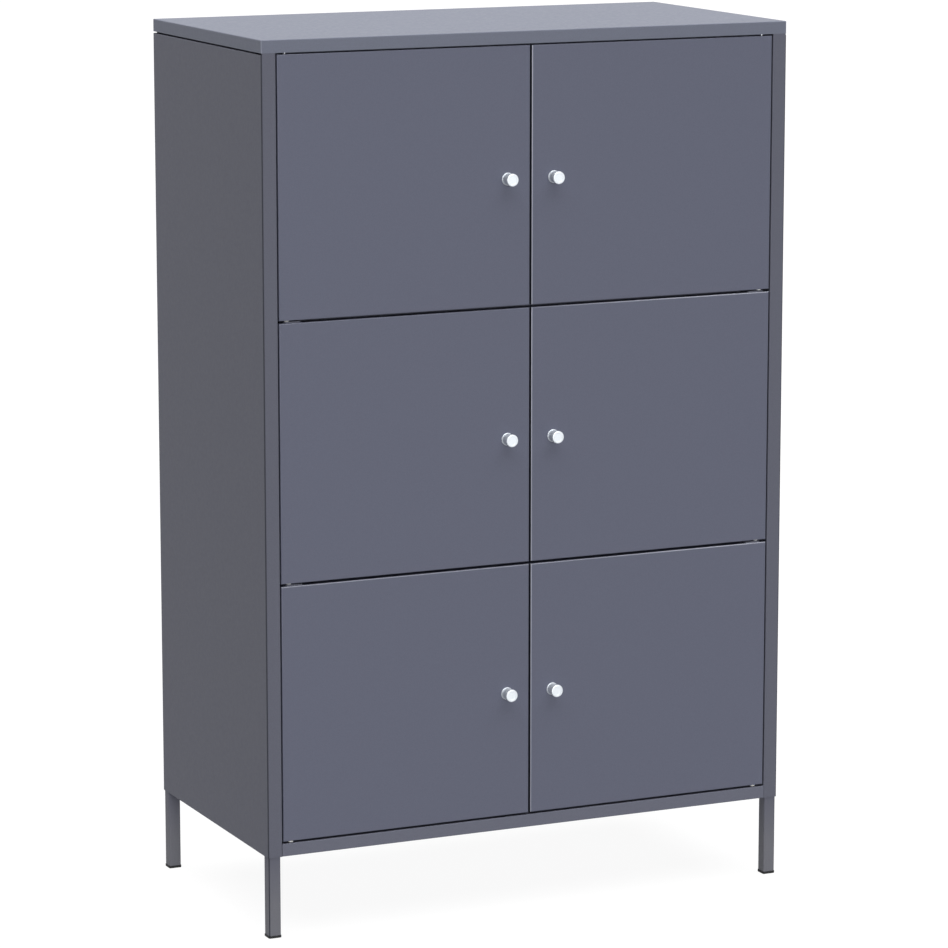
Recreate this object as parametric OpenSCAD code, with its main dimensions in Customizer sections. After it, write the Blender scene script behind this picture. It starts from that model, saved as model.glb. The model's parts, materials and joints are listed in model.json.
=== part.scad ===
// Small metal storage cabinet: six hinged doors in three rows on a carcass of folded sheet
// steel, which stands on four square tube legs. Millimetres, +Z up, the doors face -Y and the
// left side is -X. The origin is on the floor, under the middle of the whole cabinet with its
// knobs. Each right-hand piece is the mirror image of its left-hand one.

/* [Cabinet] */
// Width over the side panels
cab_w = 680; // [560:10:900]
// Depth of the top cover, front to back
cab_d = 350; // [260:10:500]
// Height from the floor to the top of the cover
cab_h = 1060; // [900:10:1400]
// Clear height of the legs below the body
leg_h = 98.5; // [50:0.5:180]

/* [Sheet metal] */
// Thickness of the sheet steel
sheet = 0.8; // [0.6:0.1:1.0]
// Inside radius of a bend
bend_r = 0.4; // [0.4:0.1:1.0]
// Width of the hems along the shelves' and the bottom panel's folds
hem_w = 10; // [7:1:14]

/* [Top cover] */
// Height of the cover's skirt
cover_skirt = 15; // [12:0.5:25]
// Height of the shadow groove between the skirt and the side walls
cover_groove = 2; // [1:0.5:4]
// How far the groove runs round the rear corner
groove_turn = 5; // [3:0.5:8]
// Depth of the folds behind the doors, on the cover and on both shelves
fold_h = 15; // [14:0.5:24]

/* [Side panels] */
// Width of the posts' faces
post_face = 18; // [16.8:0.1:20]
// Depth of the rear posts
rear_post_d = 25; // [22:1:40]
// Length of the post behind the doors that takes the shelf screws
post_screw_zone = 16; // [12:1:30]
// Width of the lip that closes each post
post_lip = 13; // [6:1:14]
// Width of the flange along the top of each side wall
wall_flange_w = 12; // [6:1:14]

/* [Bottom panel] */
// Height of the bottom rail
rail_h = 15.5; // [14:0.5:25]

/* [Back panels] */
// How far the back panels lie inside the rear posts' faces
back_inset = 3; // [2.5:0.5:4]
// Overlap of the two back panels at the middle
back_lap = 12; // [6:1:20]
// Distance of a back panel's screws from its outer edge
back_screw_edge = 20; // [12:1:40]
// Distance of a back panel's screws from the cabinet's middle
back_screw_mid = 25; // [22:1:60]
// Distance between the two wall anchor holes
anchor_span = 400; // [200:10:500]
// Diameter of the wall anchor holes
anchor_d = 5.5; // [4:0.5:7]

/* [Legs] */
// Side of the square tube
leg_side = 15; // [12:0.5:15]
// Wall of the tube
leg_wall = 1.2; // [1:0.1:2]
// Outside corner radius of the tube
leg_corner_r = 1.5; // [1.3:0.1:2.5]
// Length of the tube inside the post
leg_insert = 80; // [40:5:120]
// Visible height of the foot cap
foot_h = 3; // [2:0.5:6]
// How far the foot cap stands out past the tube
foot_flare = 0.6; // [0:0.1:0.9]
// Height of the foot cap's plug inside the tube
plug_h = 12; // [8:1:20]

/* [Doors] */
// Thickness of a door
door_t = 15; // [14:0.5:20]
// Width of the lips around the back of a door
door_lip = 12; // [10:1:25]
// Gap between a door and its post
side_gap = 1.5; // [1.5:0.5:5]
// Gap between a pair of doors
mid_gap = 2.2; // [2:0.1:5]
// Gap between the top doors and the cover
top_gap = 2; // [2:0.5:5]
// Gap between two rows of doors
row_gap = 3.2; // [3.2:0.1:6]
// Gap between the bottom doors and the bottom rail
bottom_gap = 2.5; // [2:0.5:5]
// Width of the stiffener inside a door
stiffener_w = 64; // [50:2:100]
// Depth of the stiffener
stiffener_d = 10; // [6:0.5:11]
// Distance from a stiffener's end to the edge of its door
stiffener_end = 18; // [14:1:60]

/* [Hinges] */
// Distance of the pivot from the door's outer edge
pivot_in = 11.5; // [9:0.5:12]
// Distance of the pivot behind the door's face
pivot_back = 6; // [5:0.5:8]
// Diameter of a pivot pin
pin_d = 3; // [2.5:0.5:3.5]
// Length of a pin inside its door
pin_reach = 8; // [6:1:11]
// Wall of a bush around its pin
bush_wall = 0.75; // [0.6:0.05:1]
// Diameter of a bush's flange
bush_flange_d = 6; // [5.6:0.1:8]
// Length of a lower bush inside its door
bush_len = 5; // [3:0.5:8]
// Thickness of an upper bush's flange
bush_flange_t = 1.2; // [0.8:0.1:2]
// Thickness of a hinge plate
plate_t = 1.5; // [1.2:0.1:2]
// Width of a hinge plate
plate_w = 21.5; // [18:0.5:30]
// Distance of a hinge plate's edge from the pivot, on the post's side
plate_edge = 5; // [4:0.5:6]
// Length of a hinge plate over its shelf
plate_tail = 34; // [30:1:50]
// Distance between the two rivets of a hinge plate
rivet_pitch = 16; // [12:1:20]
// Diameter of a rivet's shank
rivet_d = 4; // [3:0.5:4]

/* [Knobs] */
// Diameter of a knob
knob_d = 15; // [12:0.5:24]
// How far a knob stands out from its door
knob_reach = 15; // [12:0.5:30]
// Radius of the knob's front edge
knob_edge_r = 1.2; // [0.5:0.1:2.5]
// Distance of the knob's axis from the free edge of its door
knob_in = 29; // [20:0.5:60]
// Distance of the knob's axis below the top of its door
knob_drop = 156; // [60:0.5:200]

/* [Catches] */
// Width of a magnetic catch, which serves both doors of its row
catch_w = 60; // [54:1:90]
// Height of a catch
catch_h = 10; // [8.6:0.2:11]
// Distance of a catch below the top of its doors
catch_drop = 1.5; // [1:0.5:2.5]
// Width of a magnet
magnet_w = 15; // [10:1:16]
// Height of a magnet
magnet_h = 6; // [4:0.5:7]
// Thickness of a magnet
magnet_t = 3; // [2:0.5:3.5]

/* [Screws] */
// Diameter of the frame, leg, back and knob screws
screw_d = 4; // [3:0.5:4]
// Diameter of their heads
screw_head_d = 7.2; // [6:0.2:7.2]
// Height of their heads
screw_head_h = 2; // [1.6:0.1:2.4]
// Length of a screw past the last sheet that it holds
screw_past = 5; // [4:0.5:6]
// Diameter of the catch screws
small_screw_d = 3; // [2.5:0.5:3]
// Diameter of the catch screws' heads
small_head_d = 5.6; // [5:0.2:6]

/* [Clearances] */
// Gap between sheet parts that slide together
slip = 0.2; // [0.1:0.05:0.3]
// Radial clearance of a pin in its bush, and of a shank in its thread
run_clear = 0.05; // [0.03:0.01:0.08]
// Radial clearance of a shank in a plain hole
hole_clear = 0.25; // [0.2:0.05:0.4]
// Clearance between a door and a piece that it passes
swing_clear = 0.8; // [0.5:0.1:1.5]
// Gap between a hinge plate and the door below it, and between a bush and what carries it
plate_gap = 0.2; // [0.1:0.05:0.4]

/* [Hidden] */
ROWS = ["top", "middle", "bottom"];
SIDES = ["left", "right"];
SHELVES = ["upper", "lower"];
CORNERS = ["front_left", "front_right", "rear_left", "rear_right"];
DOOR_PIECES = ["door", "stiffener", "knob", "knob_screw", "bushes"];
$fn = 48;

// A small overlap that carries a cut through a face
cut = 1;

// Folded sizes are made to a tenth of a millimetre
function floor_tenth(size) = floor(size * 10 + 0.01) / 10;
function ceil_tenth(size) = ceil(size * 10 - 0.01) / 10;

half_w = cab_w / 2;
bend_o = bend_r + sheet;

// Front to back
y_front = (knob_reach - cab_d) / 2;
y_back = y_front + cab_d;
back_y = y_back - back_inset - sheet;
door_sweep = ceil_tenth(norm([pivot_in, max(pivot_back, door_t - pivot_back)]));
beam_set_back = pivot_back + door_sweep + swing_clear;
beam_y = y_front + beam_set_back;
front_post_d = beam_set_back + post_screw_zone;
front_screw_y = beam_y + post_screw_zone / 2;
rear_screw_y = y_back - rear_post_d / 2;
between_y0 = y_front + front_post_d + slip;
between_y1 = y_back - rear_post_d - slip;

// Across: the inner faces of the posts and of the side walls
post_inner = half_w - post_face - slip / 2;
wall_inner = half_w - sheet - slip;

// Heights
body_z = leg_h;
floor_z = body_z + rail_h;
cover_z = cab_h - cover_skirt;
wall_top_z = cover_z - cover_groove;
cover_screw_z = cover_z - fold_h / 2;
floor_screw_z = body_z + rail_h / 2;
door_h = floor_tenth((cover_z - top_gap - floor_z - bottom_gap - 2 * row_gap) / 3);
function door_top(row) = cover_z - top_gap - row * (door_h + row_gap);
function shelf_top(shelf) = door_top(shelf + 1) + plate_gap;
function shelf_screw_z(shelf) = shelf_top(shelf) - fold_h / 2;
function catch_z(row) = door_top(row) - catch_drop - catch_h / 2;
frame_screw_zs = [shelf_screw_z(0), shelf_screw_z(1), cover_screw_z];
back_screw_zs = concat(frame_screw_zs, [floor_screw_z]);

// Left-hand doors and their pivots
door_x0 = -half_w + post_face + side_gap;
door_x1 = -mid_gap / 2;
pivot_x = door_x0 + pivot_in;
pivot_y = y_front + pivot_back;
knob_x = door_x1 - knob_in;
stiffener_x = (door_x0 + door_x1) / 2;

// Hinge hardware
pin_hole_r = pin_d / 2 + run_clear;
bush_sleeve_r = pin_hole_r + bush_wall;
bush_hole_r = bush_sleeve_r + run_clear;
plate_corner_r = 3;
plate_x = pivot_x - plate_edge;
plate_front_gap = 1.5;
pivot_plate_y0 = y_front + bend_o + slip;
pin_head_d = pin_d + 2;
pin_head_h = 0.8;
rivet_x = plate_x + plate_w / 2;
rivet_y = beam_y + plate_tail / 2;
rivet_head_d = rivet_d + 2.4;
rivet_head_h = 1.2;

// Legs and feet: a leg stands inside its post, a slip gap away from the post's walls
leg_centre_x = -half_w + sheet + slip + leg_side / 2;
front_leg_y = y_front + sheet + slip + leg_side / 2;
rear_leg_y = y_back - sheet - slip - leg_side / 2;
leg_bore = leg_side - 2 * leg_wall;
plug_core = leg_bore - 2.4;
plug_fin_h = 1.2;

// Back panels
back_edge_x = post_inner - slip;
back_gap = 0.6;
back_screw_xs = [back_screw_mid, back_edge_x - back_screw_edge];

// Catches
catch_front_gap = 0.5;
magnet_front_gap = 0.2;
magnet_clear = 0.1;
magnet_x = 4 + magnet_w / 2;
catch_screw_x = (catch_w / 2 + magnet_x + magnet_w / 2) / 2;
small_head_h = 1.6;
small_screw_past = 3.5;
knob_thread = 9;

steel_blue = [0.37, 0.38, 0.44];
chrome = [0.85, 0.86, 0.88];
zinc = [0.66, 0.67, 0.69];
nylon = [0.93, 0.93, 0.91];
black_plastic = [0.06, 0.06, 0.07];
magnet_black = [0.16, 0.16, 0.17];

// ---- Helpers ----

// Extrudes a profile of (Y, Z) points along X
module along_x(x0, x1) {
    translate([x0, 0, 0]) rotate([90, 0, 90]) linear_extrude(x1 - x0) children();
}

// Extrudes a profile of (X, Z) points along Y
module along_y(y0, y1) {
    translate([0, y1, 0]) rotate([90, 0, 0]) linear_extrude(y1 - y0) children();
}

// Extrudes a profile of (X, Y) points along Z
module along_z(z0, z1) {
    translate([0, 0, z0]) linear_extrude(z1 - z0) children();
}

module box(lo, hi) {
    translate(lo) cube(hi - lo);
}

module rounded_rect(x0, y0, x1, y1, r) {
    translate([x0 + r, y0]) square([x1 - x0 - 2 * r, y1 - y0]);
    translate([x0, y0 + r]) square([x1 - x0, y1 - y0 - 2 * r]);
    for (x = [x0 + r, x1 - r], y = [y0 + r, y1 - r])
        translate([x, y]) circle(r = r);
}

// Box whose twelve edges are all rounded, as on a folded pan
module rounded_box(lo, hi, r) {
    intersection() {
        along_z(lo.z, hi.z) rounded_rect(lo.x, lo.y, hi.x, hi.y, r);
        along_y(lo.y, hi.y) rounded_rect(lo.x, lo.z, hi.x, hi.z, r);
        along_x(lo.x, hi.x) rounded_rect(lo.y, lo.z, hi.y, hi.z, r);
    }
}

// Hollow box of folded sheet, which a window then opens
module folded_pan(lo, hi) {
    wall = [sheet, sheet, sheet];
    difference() {
        rounded_box(lo, hi, bend_o);
        rounded_box(lo + wall, hi - wall, bend_r);
    }
}

// Section of a right-angled bend, in the first quadrant about its centre
module bend_section() {
    intersection() {
        difference() {
            circle(r = bend_o);
            circle(r = bend_r);
        }
        square(bend_o);
    }
}

// Section of a strip folded left by 90 degrees after each leg but the last.
// A leg's length is measured over the outside of its bends.
module folded_strip(lengths, i = 0) {
    is_last = i == len(lengths) - 1;
    start = i == 0 ? 0 : bend_o;
    end = is_last ? lengths[i] : lengths[i] - bend_o;
    translate([start, 0]) square([end - start, sheet]);
    if (!is_last) {
        translate([end, bend_o]) rotate(-90) bend_section();
        translate([lengths[i], 0]) rotate(90) folded_strip(lengths, i + 1);
    }
}

// Pieces drawn for the left, mirrored for the right
module on_side(side) {
    mirror([side == "right" ? 1 : 0, 0, 0]) children();
}

module on_both_sides() {
    for (side = SIDES) on_side(side) children();
}

// Pan head screw along +Z: its head ends at the origin, its shank starts there
module screw(d, head_d, head_h, length) {
    slot = [head_d * 0.6, head_d * 0.14, head_h];
    difference() {
        union() {
            translate([0, 0, -head_h]) cylinder(d = head_d, h = head_h);
            cylinder(d = d, h = length);
        }
        for (turn = [0, 90])
            rotate(turn) translate([0, 0, -head_h]) cube(slot, center = true);
    }
}

// Set a +Z piece to point along -X or -Y
module to_minus_x(at) {
    translate(at) rotate([0, -90, 0]) children();
}

module to_minus_y(at) {
    translate(at) rotate([90, 0, 0]) children();
}

// ---- Carcass ----

// Plan of a shelf or the bottom panel: narrow between the posts, wide between the walls
module notched_plan(y0, y1, inset) {
    narrow = post_inner - inset;
    wide = wall_inner - inset;
    translate([-narrow, y0 + inset]) square([2 * narrow, y1 - y0 - 2 * inset]);
    translate([-wide, between_y0 + inset])
        square([2 * wide, between_y1 - between_y0 - 2 * inset]);
}

// Sheet with its edges folded down, and with hems along the front and rear folds
module tray(y0, y1, z0, z1) {
    difference() {
        intersection() {
            along_z(z0, z1) notched_plan(y0, y1, 0);
            along_x(-half_w, half_w) rounded_rect(y0, z0, y1, z1, bend_o);
        }
        intersection() {
            along_z(z0 + sheet, z1 - sheet) notched_plan(y0, y1, sheet);
            along_x(-half_w, half_w)
                rounded_rect(y0 + sheet, z0 + sheet, y1 - sheet, z1 - sheet, bend_r);
        }
        intersection() {
            along_z(z0 - cut, z0 + sheet + cut) notched_plan(y0, y1, sheet);
            box([-half_w, y0 + hem_w, z0 - cut], [half_w, y1 - hem_w, z0 + sheet + cut]);
        }
    }
}

// Cuts the threaded holes of the frame screws, in the ends of a fold at height z
module end_screw_holes(z, r) {
    on_both_sides()
        for (y = [front_screw_y, rear_screw_y])
            to_minus_x([-half_w + 2 * post_face, y, z]) cylinder(r = r, h = 2 * post_face - sheet - cut);
}

// Cuts the holes of the back screws through what lies behind y0 at height z
module back_screw_holes(z, y0, r) {
    on_both_sides()
        for (x = back_screw_xs)
            to_minus_y([-x, y_back + cut, z]) cylinder(r = r, h = y_back + cut - y0);
}

// Cuts the holes of the wall anchor through what lies behind y0
module anchor_holes(y0) {
    on_both_sides()
        to_minus_y([-anchor_span / 2, y_back + cut, cover_screw_z])
            cylinder(d = anchor_d, h = y_back + cut - y0);
}

// Cuts the holes of the catch screws through the fold at beam_y, at height z
module catch_screw_holes(z) {
    on_both_sides()
        to_minus_y([-catch_screw_x, beam_y + hem_w, z])
            cylinder(r = small_screw_d / 2 + hole_clear, h = hem_w + sheet);
}

// The cover's solid shape, with a square lower edge that meets the posts
module cover_block(inset, r) {
    wall = [inset, inset, inset];
    intersection() {
        rounded_box([-half_w, y_front, cover_z - bend_o] + wall, [half_w, y_back, cab_h] - wall, r);
        box([-half_w, y_front, cover_z + inset], [half_w, y_back, cab_h]);
    }
}

// Pan whose rim is folded in and then down, behind the doors and inside the posts
module top_cover() {
    fold = [post_inner, beam_y];
    opening = [fold.x - sheet, fold.y + sheet];
    color(steel_blue) difference() {
        union() {
            difference() {
                cover_block(0, bend_o);
                cover_block(sheet, bend_r);
                box([-opening.x, opening.y, cover_z - cut],
                    [opening.x, back_y - sheet, cover_z + sheet + cut]);
            }
            along_z(cover_z - fold_h, cover_z + sheet) difference() {
                translate([-fold.x, fold.y]) square([2 * fold.x, back_y - fold.y]);
                translate([-opening.x, opening.y]) square([2 * opening.x, back_y - sheet - opening.y]);
            }
        }
        end_screw_holes(cover_screw_z, screw_d / 2 + hole_clear);
        back_screw_holes(cover_screw_z, back_y - 2 * sheet, screw_d / 2 + run_clear);
        catch_screw_holes(catch_z(0));
        anchor_holes(back_y - 2 * sheet);
        on_both_sides()
            translate([pivot_x, pivot_y, cover_z - cut]) cylinder(r = pin_hole_r, h = sheet + 2 * cut);
    }
}

// Side wall, front post and rear post, folded from one sheet
module side_panel(side) {
    color(steel_blue) on_side(side) difference() {
        union() {
            difference() {
                along_z(body_z, cover_z)
                    translate([-half_w + post_face - post_lip, y_back - rear_post_d])
                        folded_strip([post_lip, rear_post_d, post_face, cab_d,
                                      post_face, front_post_d, post_lip]);
                box([-half_w - cut, y_front - cut, wall_top_z],
                    [-half_w + sheet + slip, y_back + cut, cover_z + cut]);
                box([-half_w - cut, y_back - bend_o, wall_top_z],
                    [-half_w + groove_turn, y_back + cut, cover_z + cut]);
                box([-half_w - cut, between_y0, wall_top_z - bend_o],
                    [-half_w + sheet + slip, between_y1, cover_z + cut]);
            }
            along_y(between_y0, between_y1) {
                translate([-half_w + bend_o, wall_top_z - bend_o]) rotate(90) bend_section();
                translate([-half_w + bend_o, wall_top_z - sheet])
                    square([wall_flange_w - bend_o, sheet]);
            }
        }
        for (z = frame_screw_zs) end_screw_holes(z, screw_d / 2 + run_clear);
        for (y = [front_leg_y, rear_leg_y])
            to_minus_x([-half_w + 2 * post_face, y, floor_screw_z])
                cylinder(r = screw_d / 2 + hole_clear, h = 2 * post_face - sheet - cut);
    }
}

module bottom_panel() {
    color(steel_blue) difference() {
        tray(y_front, back_y, body_z, floor_z);
        on_both_sides() {
            for (y = [front_leg_y, rear_leg_y])
                to_minus_x([-half_w + 2 * post_face, y, floor_screw_z])
                    cylinder(r = screw_d / 2 + hole_clear, h = post_face + sheet);
            translate([pivot_x, pivot_y, floor_z - 2 * sheet]) cylinder(r = pin_hole_r, h = 3 * sheet);
        }
        back_screw_holes(floor_screw_z, back_y - 2 * sheet, screw_d / 2 + run_clear);
    }
}

module shelf(index) {
    top = shelf_top(index);
    color(steel_blue) difference() {
        tray(beam_y, back_y, top - fold_h, top);
        end_screw_holes(shelf_screw_z(index), screw_d / 2 + hole_clear);
        back_screw_holes(shelf_screw_z(index), back_y - 2 * sheet, screw_d / 2 + run_clear);
        catch_screw_holes(catch_z(index + 1));
        on_both_sides()
            for (y = [-1, 1] * rivet_pitch / 2)
                translate([rivet_x, rivet_y + y, top - 2 * sheet])
                    cylinder(r = rivet_d / 2 + run_clear, h = 3 * sheet);
    }
}

// The left panel's edge is stepped back to lap behind the right one
module back_panel(side) {
    top = cover_z - slip;
    color(steel_blue) difference() {
        union() {
            on_side(side)
                box([-back_edge_x, back_y, body_z], [-back_gap / 2, back_y + sheet, top]);
            if (side == "left")
                box([-back_gap - sheet, back_y + sheet, body_z],
                    [back_lap, back_y + 2 * sheet, top]);
        }
        for (z = back_screw_zs) back_screw_holes(z, back_y - cut, screw_d / 2 + hole_clear);
        anchor_holes(back_y - cut);
    }
}

// ---- Legs ----

module at_corner(corner) {
    is_front = corner == "front_left" || corner == "front_right";
    is_right = corner == "front_right" || corner == "rear_right";
    on_side(is_right ? "right" : "left")
        translate([leg_centre_x, is_front ? front_leg_y : rear_leg_y, 0]) children();
}

module leg(corner) {
    half = leg_side / 2;
    bore = leg_bore / 2;
    color(steel_blue) at_corner(corner) difference() {
        along_z(foot_h, body_z + leg_insert) difference() {
            rounded_rect(-half, -half, half, half, leg_corner_r);
            rounded_rect(-bore, -bore, bore, bore, leg_corner_r - 1);
        }
        translate([0, 0, floor_screw_z]) rotate([0, 90, 0])
            cylinder(r = screw_d / 2 + run_clear, h = leg_side);
    }
}

// Foot cap: a flange under the tube, and a finned plug inside it
module foot_cap(corner) {
    flange = leg_side / 2 + foot_flare;
    core = plug_core / 2;
    fin = leg_bore / 2 - run_clear;
    color(black_plastic) at_corner(corner) {
        along_z(0, foot_h)
            rounded_rect(-flange, -flange, flange, flange, leg_corner_r + foot_flare);
        along_z(foot_h, foot_h + plug_h) difference() {
            rounded_rect(-core, -core, core, core, leg_corner_r);
            circle(r = core - leg_corner_r);
        }
        for (z = [1:3])
            along_z(foot_h + z * plug_h / 4, foot_h + z * plug_h / 4 + plug_fin_h) difference() {
                rounded_rect(-fin, -fin, fin, fin, leg_corner_r - 1);
                circle(r = core - leg_corner_r);
            }
    }
}

// ---- Doors: every piece is drawn for the left-hand door of its row ----

module door(row, side) {
    top = door_top(row);
    lo = [door_x0, y_front, top - door_h];
    hi = [door_x1, y_front + door_t, top];
    lip = door_lip;
    color(steel_blue) on_side(side) difference() {
        folded_pan(lo, hi);
        box([lo.x + lip, hi.y - sheet - cut, lo.z + lip], [hi.x - lip, hi.y + cut, hi.z - lip]);
        to_minus_y([knob_x, y_front + 2 * sheet, top - knob_drop])
            cylinder(r = screw_d / 2 + hole_clear, h = 3 * sheet);
        for (z = [lo.z - cut, hi.z - sheet - cut])
            translate([pivot_x, pivot_y, z]) cylinder(r = bush_hole_r, h = sheet + 2 * cut);
    }
}

// Hat-shaped stiffener, bonded to the inside of the door's face
module stiffener(row, side) {
    top = door_top(row);
    half = stiffener_w / 2;
    crown = stiffener_w / 4;
    y0 = y_front + sheet;
    y1 = y0 + stiffener_d;
    color(steel_blue) on_side(side)
        along_z(top - door_h + stiffener_end, top - stiffener_end)
            translate([stiffener_x, 0]) {
                for (x = [-half, crown - sheet])
                    translate([x, y0]) square([half - crown + sheet, sheet]);
                for (x = [-crown, crown - sheet]) translate([x, y0]) square([sheet, y1 - y0]);
                translate([-crown, y1 - sheet]) square([2 * crown, sheet]);
            }
}

module knob(row, side) {
    r = knob_d / 2;
    edge = knob_edge_r;
    color(chrome) on_side(side) to_minus_y([knob_x, y_front, door_top(row) - knob_drop])
        difference() {
            rotate_extrude() {
                square([r - edge, knob_reach]);
                square([r, knob_reach - edge]);
                translate([r - edge, knob_reach - edge]) intersection() {
                    circle(r = edge);
                    square(edge);
                }
            }
            translate([0, 0, -cut]) cylinder(r = screw_d / 2 + run_clear, h = knob_thread + cut + 1);
        }
}

module knob_screw(row, side) {
    color(zinc) on_side(side)
        to_minus_y([knob_x, y_front + sheet, door_top(row) - knob_drop])
            screw(screw_d, screw_head_d, screw_head_h, sheet + knob_thread);
}

// Space that the bush below a door fills, above the rail or the hinge plate
function bush_room(row) =
    row == len(ROWS) - 1
        ? door_top(row) - door_h - floor_z - plate_gap
        : row_gap - plate_t - 2 * plate_gap;

// A nylon bush in the bottom and in the top of the door, each with its flange
module bushes(row, side) {
    top = door_top(row);
    bottom = top - door_h;
    color(nylon) on_side(side) translate([pivot_x, pivot_y, 0]) difference() {
        union() {
            translate([0, 0, bottom - bush_room(row)]) cylinder(d = bush_flange_d, h = bush_room(row));
            translate([0, 0, bottom]) cylinder(r = bush_sleeve_r, h = bush_len);
            translate([0, 0, top - sheet - bush_flange_t]) cylinder(d = bush_flange_d, h = bush_flange_t);
            translate([0, 0, top - sheet]) cylinder(r = bush_sleeve_r, h = sheet);
        }
        translate([0, 0, bottom - row_gap]) cylinder(r = pin_hole_r, h = door_h + 2 * row_gap);
    }
}

// ---- Hinge hardware on the carcass ----

// Plates that lie on a shelf and reach into the row gap, with a hole for the pin
module hinge_plates(index) {
    z0 = shelf_top(index);
    color(steel_blue) on_both_sides() along_z(z0, z0 + plate_t) difference() {
        rounded_rect(plate_x, y_front + plate_front_gap, plate_x + plate_w, beam_y + plate_tail,
                     plate_corner_r);
        translate([pivot_x, pivot_y]) circle(r = pin_hole_r);
        for (y = [-1, 1] * rivet_pitch / 2)
            translate([rivet_x, rivet_y + y]) circle(r = rivet_d / 2 + run_clear);
    }
}

module hinge_rivets() {
    color(zinc) on_both_sides()
        for (index = [0, 1], y = [-1, 1] * rivet_pitch / 2)
            translate([rivet_x, rivet_y + y, shelf_top(index)]) {
                translate([0, 0, -sheet]) cylinder(d = rivet_d, h = sheet + plate_t);
                translate([0, 0, -sheet - rivet_head_h]) cylinder(d = rivet_d + 1, h = rivet_head_h);
                translate([0, 0, plate_t]) cylinder(d = rivet_head_d, h = rivet_head_h);
            }
}

// Plates welded inside the cover and under the bottom panel, where the sheet takes a pin
module pivot_plates() {
    color(steel_blue) on_both_sides()
        for (z = [cover_z + sheet, floor_z - sheet - plate_t])
            along_z(z, z + plate_t) difference() {
                rounded_rect(plate_x, pivot_plate_y0, plate_x + plate_w, beam_y - slip, plate_corner_r);
                translate([pivot_x, pivot_y]) circle(r = pin_hole_r);
            }
}

module pivot_pins() {
    bottom_door = door_top(len(ROWS) - 1) - door_h;
    cover_end = cover_z + sheet + plate_t;
    floor_end = floor_z - sheet - plate_t;
    color(zinc) on_both_sides() translate([pivot_x, pivot_y, 0]) {
        translate([0, 0, floor_end]) cylinder(d = pin_d, h = bottom_door + pin_reach - floor_end);
        translate([0, 0, floor_end - pin_head_h]) cylinder(d = pin_head_d, h = pin_head_h);
        for (index = [0, 1])
            translate([0, 0, door_top(index + 1) - pin_reach])
                cylinder(d = pin_d, h = row_gap + 2 * pin_reach);
        translate([0, 0, door_top(0) - pin_reach])
            cylinder(d = pin_d, h = cover_end - door_top(0) + pin_reach);
        translate([0, 0, cover_end]) cylinder(d = pin_head_d, h = pin_head_h);
    }
}

// ---- Catches ----

// Housing on the front of a fold, with a pocket for each door's magnet
module catch(row) {
    z = catch_z(row);
    y0 = y_front + door_t + catch_front_gap;
    pocket = [magnet_w / 2 + magnet_clear, magnet_h / 2 + magnet_clear];
    color(black_plastic) difference() {
        along_y(y0, beam_y)
            rounded_rect(-catch_w / 2, z - catch_h / 2, catch_w / 2, z + catch_h / 2, 1.5);
        on_both_sides() {
            box([-magnet_x - pocket.x, y0 - cut, z - pocket.y],
                [-magnet_x + pocket.x, y_front + door_t + magnet_front_gap + magnet_t, z + pocket.y]);
            to_minus_y([-catch_screw_x, beam_y + cut, z])
                cylinder(r = small_screw_d / 2 + run_clear, h = small_screw_past + 2 * cut);
        }
    }
}

module catch_magnets() {
    y0 = y_front + door_t + magnet_front_gap;
    color(magnet_black) on_both_sides()
        for (row = [0 : len(ROWS) - 1])
            box([-magnet_x - magnet_w / 2, y0, catch_z(row) - magnet_h / 2],
                [-magnet_x + magnet_w / 2, y0 + magnet_t, catch_z(row) + magnet_h / 2]);
}

// ---- Screws ----

// From inside, through a shelf's or the cover's fold into the posts
module frame_screws() {
    seat = -post_inner + sheet;
    length = seat + half_w - post_face + sheet + screw_past;
    color(zinc) on_both_sides()
        for (z = frame_screw_zs, y = [front_screw_y, rear_screw_y])
            to_minus_x([seat, y, z]) screw(screw_d, screw_head_d, screw_head_h, length);
}

// From inside, through the bottom panel's fold and the post into the leg
module leg_screws() {
    seat = -post_inner + sheet;
    length = seat - leg_centre_x - leg_side / 2 + leg_wall + screw_past;
    color(zinc) on_both_sides()
        for (y = [front_leg_y, rear_leg_y])
            to_minus_x([seat, y, floor_screw_z])
                screw(screw_d, screw_head_d, screw_head_h, length);
}

// From behind, through the back panels into the folds
module back_screws() {
    length = 2 * sheet + screw_past;
    color(zinc) on_both_sides()
        for (z = back_screw_zs, x = back_screw_xs)
            to_minus_y([-x, back_y + sheet, z]) screw(screw_d, screw_head_d, screw_head_h, length);
}

// From behind the fold into the catches
module catch_screws() {
    color(zinc) on_both_sides()
        for (row = [0 : len(ROWS) - 1])
            to_minus_y([-catch_screw_x, beam_y + sheet, catch_z(row)])
                screw(small_screw_d, small_head_d, small_head_h, sheet + small_screw_past);
}

top_cover();
bottom_panel();
pivot_plates();
pivot_pins();
catch_magnets();
frame_screws();
leg_screws();
back_screws();
catch_screws();
hinge_rivets();
for (side = SIDES) {
    side_panel(side);
    back_panel(side);
}
for (index = [0, 1]) {
    shelf(index);
    hinge_plates(index);
}
for (corner = CORNERS) {
    leg(corner);
    foot_cap(corner);
}
for (row = [0 : len(ROWS) - 1]) {
    catch(row);
    for (side = SIDES) {
        place = str("_", ROWS[row], "_", side);
        door(row, side);
        stiffener(row, side);
        knob(row, side);
        knob_screw(row, side);
        bushes(row, side);
    }
}
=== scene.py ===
"""Looks of the six-door steel cabinet: its finishes, its detailed pieces, the studio and the camera.

Metres, +Z up, the doors face -Y. Each piece that is made here stands where the node that it replaces
stands, so its size and place come from that node's box.
"""
import json
import math

import bpy
from mathutils import Matrix, Vector


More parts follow.
